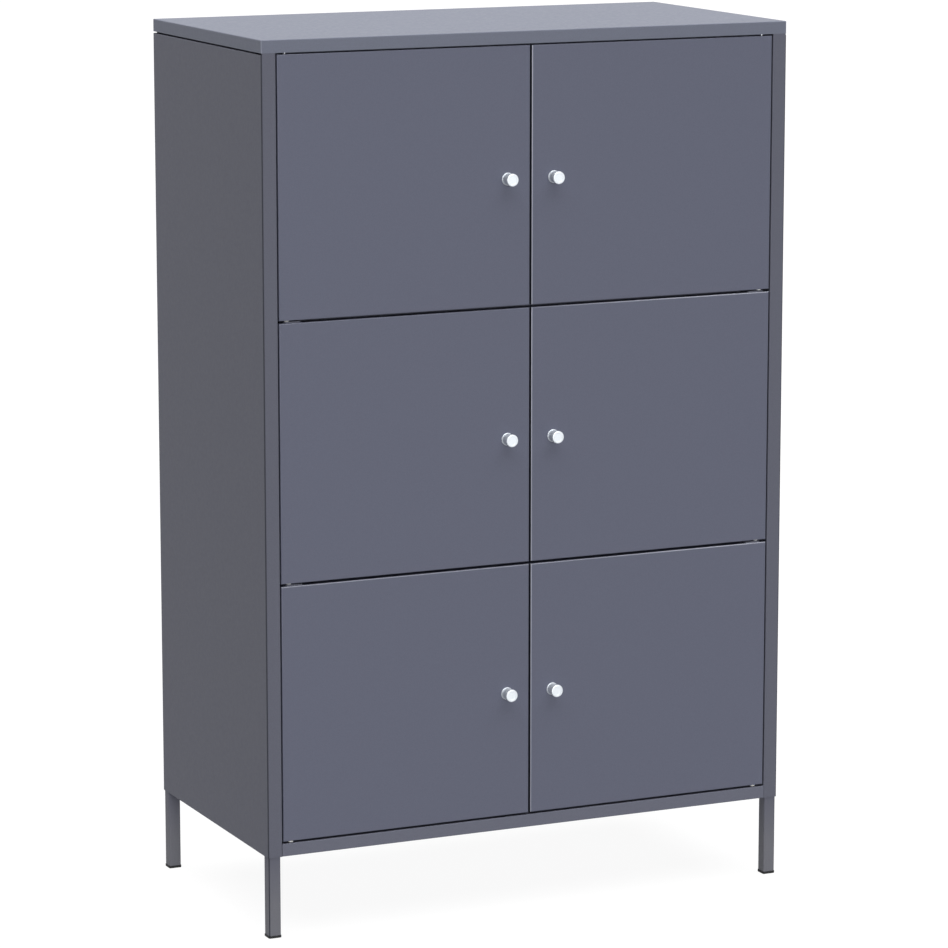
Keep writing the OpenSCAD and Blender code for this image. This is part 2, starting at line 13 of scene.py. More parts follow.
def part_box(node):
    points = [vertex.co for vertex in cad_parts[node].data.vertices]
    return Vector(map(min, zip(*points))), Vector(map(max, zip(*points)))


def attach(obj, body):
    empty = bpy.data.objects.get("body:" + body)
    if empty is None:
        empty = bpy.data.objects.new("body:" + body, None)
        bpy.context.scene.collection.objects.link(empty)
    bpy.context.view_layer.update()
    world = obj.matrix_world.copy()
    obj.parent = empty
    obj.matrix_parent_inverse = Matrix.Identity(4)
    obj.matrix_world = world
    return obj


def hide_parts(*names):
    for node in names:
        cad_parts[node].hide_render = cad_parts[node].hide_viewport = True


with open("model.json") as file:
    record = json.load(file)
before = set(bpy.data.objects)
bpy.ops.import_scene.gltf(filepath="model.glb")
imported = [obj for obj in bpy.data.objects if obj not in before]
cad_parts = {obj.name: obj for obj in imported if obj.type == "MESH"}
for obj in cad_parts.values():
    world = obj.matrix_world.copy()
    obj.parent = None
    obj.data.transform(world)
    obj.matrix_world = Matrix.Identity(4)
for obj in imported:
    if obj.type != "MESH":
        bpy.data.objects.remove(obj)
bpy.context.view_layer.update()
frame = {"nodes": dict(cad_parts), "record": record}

MM = 0.001
ROWS = ("top", "middle", "bottom")
SIDES = ("left", "right")
CORNERS = ("front_left", "front_right", "rear_left", "rear_right")
SLOTS = {subpart["node"]: subpart["material_slot"] for subpart in frame["record"]["subparts"]}
BODY_OF = {node: body for body, nodes in frame["record"]["behaviour"]["bodies"].items() for node in nodes}


def middle(node):
    low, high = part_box(node)
    return (Vector(low) + Vector(high)) / 2


def corners(node):
    low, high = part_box(node)
    return Vector(low), Vector(high)


# ---- Finishes ----

def srgb(red, green, blue):
    """A colour written in 8-bit sRGB, as the linear RGBA that a shader takes."""
    def linear(level):
        share = level / 255
        return share / 12.92 if share <= 0.04045 else ((share + 0.055) / 1.055) ** 2.4
    return (linear(red), linear(green), linear(blue), 1.0)


NOISE_MIDDLE = (0.3, 0.7)


class Finish:
    """A material that is built up from noise and masks on Object coordinates."""

    def __init__(self, name, metallic=0.0, specular=0.4):
        self.material = bpy.data.materials.new(name)
        self.material.use_nodes = True
        tree = self.material.node_tree
        tree.nodes.clear()
        self.nodes, self.links = tree.nodes, tree.links
        self.shader = self.nodes.new("ShaderNodeBsdfPrincipled")
        self.shader.inputs["Metallic"].default_value = metallic
        self.shader.inputs["Specular IOR Level"].default_value = specular
        output = self.nodes.new("ShaderNodeOutputMaterial")
        self.links.new(self.shader.outputs["BSDF"], output.inputs["Surface"])
        self.place = self.nodes.new("ShaderNodeTexCoord").outputs["Object"]
        axes = self.nodes.new("ShaderNodeSeparateXYZ")
        self.links.new(self.place, axes.inputs["Vector"])
        self.x, self.y, self.z = axes.outputs

    def maths(self, operation, *values):
        """A Math node, whose inputs are numbers or outputs of other nodes."""
        node = self.nodes.new("ShaderNodeMath")
        node.operation = operation
        for socket, value in zip(node.inputs, values):
            if isinstance(value, (int, float)):
                socket.default_value = value
            else:
                self.links.new(value, socket)
        return node.outputs["Value"]

    def ramp(self, source, start, end, low=0.0, high=1.0):
        """Maps start..end of the source to low..high, and stays level beyond them."""
        mapping = self.nodes.new("ShaderNodeMapRange")
        for name, value in (("From Min", start), ("From Max", end), ("To Min", low), ("To Max", high)):
            mapping.inputs[name].default_value = value
        self.links.new(source, mapping.inputs["Value"])
        return mapping.outputs["Result"]

    def rise(self, source, edge, reach):
        """A mask that is empty up to one distance past an edge, and full from the next one on."""
        start, end = reach
        return self.ramp(source, edge + start, edge + end)

    def fade(self, source, edge, reach):
        """A mask that is full up to one distance past an edge, and empty from the next one on."""
        start, end = reach
        return self.ramp(source, edge + start, edge + end, 1.0, 0.0)

    def overlap(self, *masks):
        """A mask that is left only where all the given masks are."""
        shared = masks[0]
        for mask in masks[1:]:
            shared = self.maths("MULTIPLY", shared, mask)
        return shared

    def noise(self, grains_per_metre, detail):
        """Noise whose middle, where most of it lies, is spread over 0 to 1."""
        texture = self.nodes.new("ShaderNodeTexNoise")
        texture.inputs["Scale"].default_value = grains_per_metre
        texture.inputs["Detail"].default_value = detail
        self.links.new(self.place, texture.inputs["Vector"])
        return self.ramp(texture.outputs["Fac"], *NOISE_MIDDLE)

    def mix(self, factor, first, second):
        """Blends from a colour, or another mix's output, to a colour."""
        blend = self.nodes.new("ShaderNodeMix")
        blend.data_type = "RGBA"
        under, over = [socket for socket in blend.inputs if socket.type == "RGBA"]
        if isinstance(first, tuple):
            under.default_value = first
        else:
            self.links.new(first, under)
        over.default_value = second
        self.links.new(factor, blend.inputs[0])
        return next(socket for socket in blend.outputs if socket.type == "RGBA")

    def colour(self, source):
        self.links.new(source, self.shader.inputs["Base Color"])

    def roughness(self, grain, span):
        """Lets the roughness vary over a span, with a grain: grains per metre, and their detail."""
        self.links.new(self.ramp(self.noise(*grain), 0.0, 1.0, *span), self.shader.inputs["Roughness"])

    def bump(self, source, height):
        """Raises the surface by up to height."""
        bump = self.nodes.new("ShaderNodeBump")
        bump.inputs["Distance"].default_value = height
        self.links.new(source, bump.inputs["Height"])
        self.links.new(bump.outputs["Normal"], self.shader.inputs["Normal"])


# The coats' tones, and where painted shade and painted highlights lie on the coats: each pair is the
# distance past an edge at which a mask starts to change, and the one at which it has changed.
# Painted shade for the bends at the front corners of the carcass and the legs.
CORNER_PAINTED_SHADE = srgb(52, 54, 63)
# A painted highlight for the cover's front corners.
CORNER_PAINTED_HIGHLIGHT = srgb(146, 149, 163)
# A painted highlight for the doors' bends.
DOOR_PAINTED_HIGHLIGHT = srgb(205, 208, 220)
# Painted shade for the gap at the right-hand doors' free edges.
FOLD_PAINTED_SHADE = srgb(24, 25, 30)
RIGHT_HAND = (0.0, 0.2 * MM)
FOLD_BEND = (0.2 * MM, 0.5 * MM)
FOLD_DEPTH = (2.0 * MM, 5.0 * MM)
FREE_EDGE_FACE = (0.9 * MM, 1.9 * MM)
FREE_EDGE_SIDE = (0.2 * MM, 0.6 * MM)
TOP_EDGE_FACE = (-1.3 * MM, -0.5 * MM)
TOP_EDGE_SIDE = (0.8 * MM, 1.3 * MM)
ROW_BREAK = (-1.0 * MM, 0.0)
# How strong the painted highlight on the doors' free edges is, from the floor up to the top door's top.
FREE_EDGE_HIGHLIGHT_LEVELS = (0.3, 0.5)
# How strong the painted highlight on the doors' top edges is: across x in the middle row, and all along the
# bottom row.
MIDDLE_ROW_HIGHLIGHT_LEVELS = (0.05, 0.55)
MIDDLE_ROW_RUN = 0.6
BOTTOM_ROW_HIGHLIGHT_LEVEL = 0.32
LEG_FADE = 60.0 * MM
RING_PITCH = 0.45 * MM
RING_HEIGHT = 0.002 * MM


def powder_coat(name, dark, light, specular=0.2):
    """Semi-matt powder coat: a very even colour with fine speckles and a fine orange peel."""
    finish = Finish(name, specular=specular)
    finish.roughness(grain=(240, 3), span=(0.42, 0.50))
    finish.bump(finish.noise(grains_per_metre=520, detail=2), height=0.02 * MM)
    return finish, finish.mix(finish.noise(grains_per_metre=900, detail=3), dark, light)


def door_coat():
    """The doors' coat: painted shade in the fold at the right-hand doors' free edges, and a painted
    highlight on the bend beside it and on the top edges of the doors in the lower two rows."""
    finish, paint = powder_coat("blue_grey_coat_doors", srgb(84, 87, 104), srgb(90, 93, 110), specular=0.42)
    low, high = corners("door_top_right")
    row_low, row_high = corners("door_middle_right")
    right_hand = finish.rise(finish.x, 0.0, RIGHT_HAND)
    # Painted shade: the side flange in the gap at the right-hand doors' free edges is darkened in the
    # colour.
    fold = finish.overlap(right_hand,
                          finish.fade(finish.x, low.x, FOLD_BEND),
                          finish.rise(finish.y, low.y, FOLD_BEND),
                          finish.fade(finish.y, low.y, FOLD_DEPTH))
    # Painted highlight: the bend at the right-hand doors' free edges is brightened in the colour, more
    # towards the top.
    free_edge_highlight = finish.overlap(right_hand,
                               finish.fade(finish.x, low.x, FREE_EDGE_FACE),
                               finish.fade(finish.y, low.y, FREE_EDGE_SIDE),
                               finish.ramp(finish.z, 0.0, high.z, *FREE_EDGE_HIGHLIGHT_LEVELS))
    # Painted highlight: the top bends of the doors in the middle row, more to the right, and in the bottom
    # row are brightened in the colour.
    from_top = finish.maths("WRAP", finish.maths("SUBTRACT", finish.z, high.z),
                            MM, MM - (high.z - row_high.z))
    highlight_level = finish.maths("MAXIMUM",
                        finish.ramp(finish.x, 0.0, MIDDLE_ROW_RUN * high.x, *MIDDLE_ROW_HIGHLIGHT_LEVELS),
                        finish.ramp(finish.z, row_low.z - MM, row_low.z, BOTTOM_ROW_HIGHLIGHT_LEVEL, 0.0))
    top_edge_highlight = finish.overlap(finish.rise(from_top, 0.0, TOP_EDGE_FACE),
                              finish.fade(finish.y, low.y, TOP_EDGE_SIDE),
                              finish.fade(finish.z, low.z, ROW_BREAK), highlight_level)
    paint = finish.mix(fold, paint, FOLD_PAINTED_SHADE)
    paint = finish.mix(free_edge_highlight, paint, DOOR_PAINTED_HIGHLIGHT)
    finish.colour(finish.mix(top_edge_highlight, paint, DOOR_PAINTED_HIGHLIGHT))
    return finish.material


def front_corner(finish, node, start, end):
    """A mask on the two front corners of a box that is alike on both sides of the cabinet."""
    low, high = corners(node)
    outer = max(-low.x, high.x)
    return finish.overlap(finish.rise(finish.maths("ABSOLUTE", finish.x), outer, (-start, -end)),
                          finish.fade(finish.y, low.y, (end, start)))


def carcass_coat():
    """The carcass's coat, with painted shade on the bends at its front corners."""
    finish, paint = powder_coat("blue_grey_coat_carcass", srgb(89, 90, 102), srgb(95, 97, 109))
    # Painted shade: the bends at the front corners are darkened in the colour.
    corner = front_corner(finish, "side_panel_left", start=1.7 * MM, end=0.9 * MM)
    finish.colour(finish.mix(corner, paint, CORNER_PAINTED_SHADE))
    return finish.material


def rail_coat():
    """The bottom panel's coat, a shade paler than the side panels'."""
    finish, paint = powder_coat("blue_grey_coat_rail", srgb(96, 98, 111), srgb(102, 104, 117))
    finish.colour(paint)
    return finish.material


def leg_coat():
    """The legs' coat: painted shade on the tube's front corners, and a little paler near the floor."""
    finish, paint = powder_coat("blue_grey_coat_legs", srgb(103, 103, 110), srgb(109, 110, 117))
    leg_top = corners("side_panel_left")[0].z
    paint = finish.mix(finish.rise(finish.z, leg_top, (-LEG_FADE, 0.0)), paint, srgb(92, 93, 105))
    # Painted shade: the tube's front corners are darkened in the colour.
    corner = front_corner(finish, "leg_front_left", start=1.6 * MM, end=0.8 * MM)
    finish.colour(finish.mix(corner, paint, CORNER_PAINTED_SHADE))
    return finish.material


def cover_coat():
    """The cover's coat, with a painted highlight on its front corners."""
    finish, paint = powder_coat("blue_grey_coat_cover", srgb(103, 107, 120), srgb(109, 113, 128))
    # Painted highlight: the cover's front corners are brightened in the colour.
    corner = front_corner(finish, "top_cover", start=1.0 * MM, end=0.4 * MM)
    finish.colour(finish.mix(corner, paint, CORNER_PAINTED_HIGHLIGHT))
    return finish.material


def satin_chrome():
    """Turned and chromed knob metal, with fine rings round each knob's own axis."""
    finish = Finish("satin_chrome", metallic=1.0)
    axis = middle("knob_top_right")
    pitch = axis.z - middle("knob_middle_right").z
    aside = finish.maths("SUBTRACT", finish.maths("ABSOLUTE", finish.x), axis.x)
    above = finish.maths("WRAP", finish.maths("SUBTRACT", finish.z, axis.z), pitch / 2, -pitch / 2)
    radius = finish.maths("SQRT", finish.maths("ADD", finish.maths("MULTIPLY", aside, aside),
                                               finish.maths("MULTIPLY", above, above)))
    finish.colour(finish.mix(finish.noise(grains_per_metre=900, detail=3),
                             srgb(216, 221, 226), srgb(226, 230, 234)))
    finish.roughness(grain=(300, 2), span=(0.54, 0.62))
    finish.bump(finish.maths("SINE", finish.maths("MULTIPLY", radius, 2 * math.pi / RING_PITCH)),
                RING_HEIGHT)
    return finish.material


def grained(finish, grain, dark, light, gloss_grain, gloss, relief_grain, relief):
    """Gives a finish a mottled colour, gloss and surface, each with a grain of its own."""
    finish.colour(finish.mix(finish.noise(*grain), dark, light))
    finish.roughness(gloss_grain, gloss)
    finish.bump(finish.noise(*relief_grain), relief)
    return finish.material


def zinc_plate():
    """Bright zinc plate, mottled in its crystals."""
    return grained(Finish("bright_zinc_plate", metallic=1.0),
                   grain=(420, 4), dark=srgb(184, 186, 191), light=srgb(208, 210, 213),
                   gloss_grain=(700, 3), gloss=(0.26, 0.44), relief_grain=(1500, 3), relief=0.008 * MM)


def natural_nylon():
    """Natural nylon, which lets some light through."""
    finish = Finish("natural_nylon")
    for name, value in (("Weight", 0.3), ("Radius", (1.0, 0.9, 0.8)), ("Scale", 2.0 * MM)):
        finish.shader.inputs[f"Subsurface {name}"].default_value = value
    return grained(finish,
                   grain=(160, 3), dark=srgb(246, 246, 242), light=srgb(252, 252, 250),
                   gloss_grain=(700, 2), gloss=(0.3, 0.42), relief_grain=(1200, 2), relief=0.01 * MM)


def black_plastic():
    """Black moulded plastic with a fine spark-eroded grain."""
    return grained(Finish("black_moulded_plastic", specular=0.35),
                   grain=(500, 4), dark=srgb(15, 15, 17), light=srgb(24, 24, 26),
                   gloss_grain=(600, 2), gloss=(0.5, 0.68), relief_grain=(1600, 2), relief=0.03 * MM)


def ferrite():
    """Ground ferrite, with pores."""
    return grained(Finish("ground_ferrite", specular=0.4),
                   grain=(900, 4), dark=srgb(54, 54, 57), light=srgb(80, 80, 83),
                   gloss_grain=(500, 3), gloss=(0.38, 0.6), relief_grain=(1800, 3), relief=0.02 * MM)


COATS = {"top_cover": cover_coat(), "leg": leg_coat(), "door": door_coat(), "bottom": rail_coat(),
         "carcass": carcass_coat()}
FINISHES = {"chrome": satin_chrome(), "zinc_plate": zinc_plate(), "nylon": natural_nylon(),
            "black_plastic": black_plastic(), "magnet": ferrite()}


def finish_of(node):
    if SLOTS[node] != "powder_coat":
        return FINISHES[SLOTS[node]]
    if node.startswith("stiffener_"):
        return COATS["door"]
    return COATS.get(node) or COATS.get(node.split("_")[0], COATS["carcass"])


def finish_frame():
    """Gives each node of the frame the finish of its slot in the record."""
    for node in SLOTS:
        for material_slot in frame["nodes"][node].material_slots:
            material_slot.material = finish_of(node)


# ---- Modelling ----

FRONT = (0.0, -1.0, 0.0)
BACK = (0.0, 1.0, 0.0)
UP = (0.0, 0.0, 1.0)
DOWN = (0.0, 0.0, -1.0)
SAME_WAY = 0.999
SQUARE_ON = 0.001
SHARP_FROM = math.radians(32)


def object_mode():
    if bpy.context.mode != "OBJECT":
        bpy.ops.object.mode_set(mode="OBJECT")


def select_only(*pieces):
    object_mode()
    bpy.ops.object.select_all(action="DESELECT")
    for piece in pieces:
        piece.select_set(True)
    bpy.context.view_layer.objects.active = pieces[0]


def settle(piece):
    """Moves a piece's place, turn and scale into its mesh."""
    select_only(piece)
    bpy.ops.object.transform_apply(location=True, rotation=True, scale=True)


def block(low, high, turn=(0.0, 0.0, 0.0)):
    """A cube stretched between two corners, and turned about its middle."""
    object_mode()
    bpy.ops.mesh.primitive_cube_add(size=1.0, location=(Vector(low) + Vector(high)) / 2, rotation=turn)
    piece = bpy.context.object
    piece.scale = Vector(high) - Vector(low)
    settle(piece)
    return piece


def rod(start, end, radius, sides=32):
    """A cylinder from one point to another."""
    object_mode()
    along = Vector(end) - Vector(start)
    bpy.ops.mesh.primitive_cylinder_add(vertices=sides, radius=radius, depth=along.length,
                                        location=(Vector(start) + Vector(end)) / 2,
                                        rotation=along.to_track_quat("Z", "Y").to_euler())
    piece = bpy.context.object
    settle(piece)
    return piece


def pick_faces(piece, direction):
    """Enters edit mode with the flat faces selected that look in a direction."""
    select_only(piece)
    bpy.ops.object.mode_set(mode="EDIT")
    bpy.ops.mesh.select_mode(type="FACE")
    bpy.ops.mesh.select_all(action="DESELECT")
    object_mode()
    for face in piece.data.polygons:
        face.select = face.normal.dot(Vector(direction)) > SAME_WAY
    bpy.ops.object.mode_set(mode="EDIT")


def pick_edges(piece, across=(0.0, 0.0, 0.0), along=None):
    """Enters edit mode with the edges selected that run along a direction, or square to one.

    With neither, every edge is selected."""
    select_only(piece)
    bpy.ops.object.mode_set(mode="EDIT")
    bpy.ops.mesh.select_mode(type="EDGE")
    bpy.ops.mesh.select_all(action="DESELECT")
    object_mode()
    points = piece.data.vertices
    for edge in piece.data.edges:
        run = (points[edge.vertices[1]].co - points[edge.vertices[0]].co).normalized()
        if along:
            edge.select = abs(run.dot(Vector(along))) > SAME_WAY
        else:
            edge.select = abs(run.dot(Vector(across))) < SQUARE_ON
    bpy.ops.object.mode_set(mode="EDIT")


def bevel(offset, segments):
    """Rounds the selected edges, and leaves edit mode."""
    bpy.ops.mesh.bevel(offset=offset, segments=segments, affect="EDGES")
    object_mode()


def round_rim(piece, direction, offset, segments):
    """Rounds the edges round the faces that look in a direction."""
    pick_faces(piece, direction)
    bpy.ops.mesh.region_to_loop()
    bevel(offset, segments)


def extrude(move):
    bpy.ops.mesh.extrude_region_move(TRANSFORM_OT_translate={"value": move})


def widen(share):
    """Scales the selection square to Z, about the Z axis."""
    bpy.ops.transform.resize(value=(share, share, 1.0), center_override=(0.0, 0.0, 0.0))


def apply_modifier(piece, kind, **settings):
    select_only(piece)
    modifier = piece.modifiers.new(kind.title(), kind)
    for name, value in settings.items():
        setattr(modifier, name, value)
    bpy.ops.object.modifier_apply(modifier=modifier.name)


def cut_out(piece, *cutters):
    """Cuts the cutters' shapes out of a piece, and throws the cutters away."""
    for cutter in cutters:
        apply_modifier(piece, "BOOLEAN", operation="DIFFERENCE", solver="EXACT", object=cutter)
        bpy.data.meshes.remove(cutter.data)


def join(pieces):
    select_only(*pieces)
    bpy.ops.object.join()
    return bpy.context.object


def copied(piece, move):
    """A copy of a piece with its own mesh, moved, turned or mirrored by a matrix."""
    copy = bpy.data.objects.new(piece.name, piece.data.copy())
    bpy.context.scene.collection.objects.link(copy)
    copy.matrix_world = move
    settle(copy)
    if move.is_negative:
        bpy.ops.object.mode_set(mode="EDIT")
        bpy.ops.mesh.select_all(action="SELECT")
        bpy.ops.mesh.normals_make_consistent(inside=False)
        object_mode()
    return copy


def driven(model, seats, towards):
    """Copies of a screw: seats lists each one's seat, and towards says which way each one points."""
    turns = [Vector(way).to_track_quat("Z", "Y").to_matrix().to_4x4() for way in towards]
    return [copied(model, Matrix.Translation(seat) @ turn) for seat, turn in zip(seats, turns)]


def throw_away(piece):
    bpy.data.meshes.remove(piece.data)


def stand_for(piece, name, node):
    """Names and finishes a piece, and puts it in the place of a node of the frame."""
    select_only(piece)
    bpy.ops.object.shade_smooth_by_angle(angle=SHARP_FROM)
    apply_modifier(piece, "WEIGHTED_NORMAL", keep_sharp=True, weight=100)
    piece.name = name
    piece.data.name = name
    piece.data.materials.clear()
    piece.data.materials.append(finish_of(node))
    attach(piece, BODY_OF[node])
    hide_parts(node)


# ---- Doors ----

SHEET = 0.8 * MM
BEND = 1.2 * MM
DOOR_LIP = 12.0 * MM
SLIT_W = 0.35 * MM
SLIT_MARGIN = 0.3 * MM
SLIT_DEPTH = 1.2 * SHEET
KNOB_HOLE_R = 2.25 * MM
BUSH_HOLE_R = 2.4 * MM


def door_slits(low, high):
    """Thin cutters along the mitres where the lips meet at the back of a door."""
    reach = DOOR_LIP + SLIT_MARGIN
    start = BEND + SLIT_MARGIN
    half = (reach - start) / math.sqrt(2)
    offset = (reach + start) / 2
    return [block((x - half, high.y - SLIT_DEPTH, z - SLIT_W / 2),
                  (x + half, high.y + SHEET, z + SLIT_W / 2), turn=(0.0, turn, 0.0))
            for x, z, turn in ((low.x + offset, low.z + offset, -math.pi / 4),
                               (low.x + offset, high.z - offset, math.pi / 4),
                               (high.x - offset, low.z + offset, math.pi / 4),
                               (high.x - offset, high.z - offset, -math.pi / 4))]


def folded_door(node, knob, bushes):
    """A door folded out of one sheet: a pan with bent edges, and lips that are mitred behind it."""
    low, high = corners(node)
    door = block(low, high)
    pick_edges(door, across=BACK)
    bevel(BEND, 4)
    pick_faces(door, BACK)
    bpy.ops.mesh.inset(thickness=DOOR_LIP - BEND)
    bpy.ops.mesh.delete(type="FACE")
    apply_modifier(door, "SOLIDIFY", thickness=SHEET, offset=-1.0, use_even_offset=True)
    screw, pin = middle(knob), middle(bushes)
    holes = [rod((screw.x, low.y - MM, screw.z), (screw.x, low.y + 2 * SHEET, screw.z), KNOB_HOLE_R)]
    holes += [rod((pin.x, pin.y, z - 1.5 * SHEET), (pin.x, pin.y, z + 1.5 * SHEET), BUSH_HOLE_R)
              for z in (low.z, high.z)]
    cut_out(door, *door_slits(low, high), *holes)
    return door


def make_doors():
    model = folded_door("door_top_left", "knob_top_left", "bushes_top_left")
    for row in ROWS:
        down = Matrix.Translation((0.0, 0.0, middle(f"door_{row}_left").z - middle("door_top_left").z))
        for side, mirror in (("left", 1.0), ("right", -1.0)):
            door = copied(model, down @ Matrix.Diagonal((mirror, 1.0, 1.0, 1.0)))
            stand_for(door, f"folded_door_{row}_{side}", f"door_{row}_{side}")
    throw_away(model)


# ---- Knobs ----

# The foot's length and edge, the waist's share of the radius and its fillet, and the head's length and
# shoulder.
KNOB_FOOT = (1.4 * MM, 0.6 * MM)
KNOB_WAIST = (0.92, 0.3 * MM)
KNOB_HEAD = (3.6 * MM, 0.4 * MM)
KNOB_EDGE = 1.0 * MM
KNOB_RIM = 1.5 * MM
KNOB_DISH = 0.25 * MM
KNOB_BORE = 2.05 * MM
KNOB_BORE_DEPTH = 10.0 * MM


def turned_knob(radius, reach):
    """A knob turned along +Z: a rounded foot, a waist, and a head with a rim round its dished face."""
    foot, foot_edge = KNOB_FOOT
    waist, fillet = KNOB_WAIST
    head, shoulder = KNOB_HEAD
    knob = rod((0.0, 0.0, 0.0), (0.0, 0.0, foot), radius, sides=96)
    round_rim(knob, UP, foot_edge, 5)
    pick_faces(knob, UP)
    extrude((0.0, 0.0, fillet))
    widen(waist * radius / (radius - foot_edge))
    extrude((0.0, 0.0, reach - foot - fillet - head - shoulder))
    extrude((0.0, 0.0, shoulder))
    widen(1 / waist)
    extrude((0.0, 0.0, head))
    object_mode()
    round_rim(knob, UP, KNOB_EDGE, 6)
    pick_faces(knob, UP)
    bpy.ops.mesh.inset(thickness=KNOB_RIM)
    bpy.ops.mesh.inset(thickness=KNOB_DISH, depth=-KNOB_DISH)
    pick_faces(knob, DOWN)
    bpy.ops.mesh.inset(thickness=radius - KNOB_BORE)
    extrude((0.0, 0.0, KNOB_BORE_DEPTH))
    object_mode()
    return knob


def copy_to_doors(model, kind, name, start):
    """Copies a piece of the top left-hand door to its place on each door."""
    for row in ROWS:
        for side in SIDES:
            node = f"{kind}_{row}_{side}"
            stand_for(copied(model, Matrix.Translation(middle(node) - start)), f"{name}_{row}_{side}", node)
    throw_away(model)


def make_knobs():
    low, high = corners("knob_top_left")
    at = middle("knob_top_left")
    model = turned_knob((high.x - low.x) / 2, high.y - low.y)
    knob = driven(model, [(at.x, high.y, at.z)], [FRONT])[0]
    throw_away(model)
    copy_to_doors(knob, "knob", "turned_knob", at)


# ---- Screws ----

# A screw's shank radius, head radius and head height. Its dome, tip and recess are shares of these.
SCREW = (2.0 * MM, 3.6 * MM, 2.0 * MM)
SMALL_SCREW = (1.5 * MM, 2.8 * MM, 1.6 * MM)
SCREW_DOME = 0.75
SCREW_TIP = 0.6
RECESS_ARM = 0.6
RECESS_HALF = 0.14
RECESS_HEIGHTS = (-1.5, -0.45)
THREAD_PITCH = 0.7 * MM
THREAD_ROOT = 0.86
FRAME_SCREW_LENGTH = 6.7 * MM
LEG_SCREW_LENGTH = 9.1 * MM
BACK_SCREW_X = 25.0 * MM


def pan_head_screw(size, length):
    """A domed, cross-recessed screw along +Z, with the seat of its head at the origin."""
    shank_r, head_r, head_h = size
    screw = rod((0.0, 0.0, -head_h), (0.0, 0.0, 0.0), head_r)
    round_rim(screw, DOWN, SCREW_DOME * head_h, 5)
    pick_faces(screw, UP)
    bpy.ops.mesh.inset(thickness=head_r - shank_r)
    turns = int(length / THREAD_PITCH) - 1
    for _ in range(turns):
        for share in (THREAD_ROOT, 1 / THREAD_ROOT):
            extrude((0.0, 0.0, THREAD_PITCH / 2))
            widen(share)
    extrude((0.0, 0.0, length - turns * THREAD_PITCH))
    widen(SCREW_TIP)
    object_mode()
    arm, half = RECESS_ARM * head_r, RECESS_HALF * head_r
    above, floor = [share * head_h for share in RECESS_HEIGHTS]
    cut_out(screw,
            block((-arm, -half, above), (arm, half, floor)),
            block((-half, -arm, above), (half, arm, floor)))
    return screw


def screws_for(node, name, size, length, seats, towards):
    model = pan_head_screw(size, length)
    stand_for(join(driven(model, seats, towards)), name, node)
    throw_away(model)


def sideways_screws(node, name, length, heights):
    """Screws at the front and the rear that point out through both side walls."""
    low, high = corners(node)
    head_r = SCREW[1]
    seats = [(sign * (high.x - length), y, z) for sign in (-1, 1)
             for y in (low.y + head_r, high.y - head_r) for z in heights]
    screws_for(node, name, SCREW, length, seats, [(seat[0], 0.0, 0.0) for seat in seats])


def make_screws():
    folds = [middle("shelf_lower").z, middle("shelf_upper").z, corners("frame_screws")[1].z - SCREW[1]]
    sideways_screws("frame_screws", "pan_head_frame_screws", FRAME_SCREW_LENGTH, folds)
    sideways_screws("leg_screws", "pan_head_leg_screws", LEG_SCREW_LENGTH, [middle("leg_screws").z])

    low, high = corners("back_screws")
    seats = [(sign * x, high.y - SCREW[2], z) for sign in (-1, 1) for x in (BACK_SCREW_X, high.x - SCREW[1])
             for z in [low.z + SCREW[1]] + folds]
    screws_for("back_screws", "pan_head_back_screws", SCREW, high.y - SCREW[2] - low.y, seats,
               [FRONT] * len(seats))

    low, high = corners("catch_screws")
    seats = [(sign * (high.x - SMALL_SCREW[1]), high.y - SMALL_SCREW[2], middle(f"catch_{row}").z)
             for sign in (-1, 1) for row in ROWS]
    screws_for("catch_screws", "pan_head_catch_screws", SMALL_SCREW, high.y - SMALL_SCREW[2] - low.y, seats,
               [FRONT] * len(seats))


def make_knob_screws():
    low, high = corners("knob_screw_top_left")
    at = middle("knob_screw_top_left")
    model = pan_head_screw(SCREW, high.y - SCREW[2] - low.y)
    screw = driven(model, [(at.x, high.y - SCREW[2], at.z)], [FRONT])[0]
    throw_away(model)
    copy_to_doors(screw, "knob_screw", "pan_head_knob_screw", at)


# ---- Hinges ----

# A rivet's head radius and head height. Its dome, its hollow and the steps of its tail are shares of the
# height, and each step also widens the tail by a share.
RIVET_HEAD = (3.2 * MM, 1.2 * MM)
RIVET_DOME = 0.8
RIVET_HOLLOW = 0.6
RIVET_TAIL = ((0.0, 1.25), (-0.7, 1.0), (-0.3, 0.7))
RIVET_SHANK = 2.0 * MM
RIVET_GRIP = 2.3 * MM
MANDREL_R = 1.0 * MM
BUSH_FLANGE_R = 3.0 * MM
BUSH_SLEEVE_R = 2.3 * MM
BUSH_SLEEVE = 5.0 * MM
BUSH_RIM = 0.15 * MM
BUSH_LEAD_IN = 0.3 * MM
BUSH_TOP_FLANGE = 1.2 * MM
BUSH_BORE_R = 1.55 * MM
PIN_R = 1.5 * MM
PIN_EDGE = 0.25
PIN_REACH = 8.0 * MM
PIN_HEAD = (2.5 * MM, 0.8 * MM)


def blind_rivet():
    """A domed rivet along -Z, with a hollow in its head and a flattened tail; its head seats at 0."""
    head_r, head_h = RIVET_HEAD
    rivet = rod((0.0, 0.0, 0.0), (0.0, 0.0, head_h), head_r)
    round_rim(rivet, UP, RIVET_DOME * head_h, 5)
    pick_faces(rivet, UP)
    bpy.ops.mesh.inset(thickness=head_r - RIVET_DOME * head_h - MANDREL_R)
    extrude((0.0, 0.0, -RIVET_HOLLOW * head_h))
    pick_faces(rivet, DOWN)
    bpy.ops.mesh.inset(thickness=head_r - RIVET_SHANK)
    extrude((0.0, 0.0, -RIVET_GRIP))
    for step, share in RIVET_TAIL:
        extrude((0.0, 0.0, step * head_h))
        widen(share)
    object_mode()
    return rivet


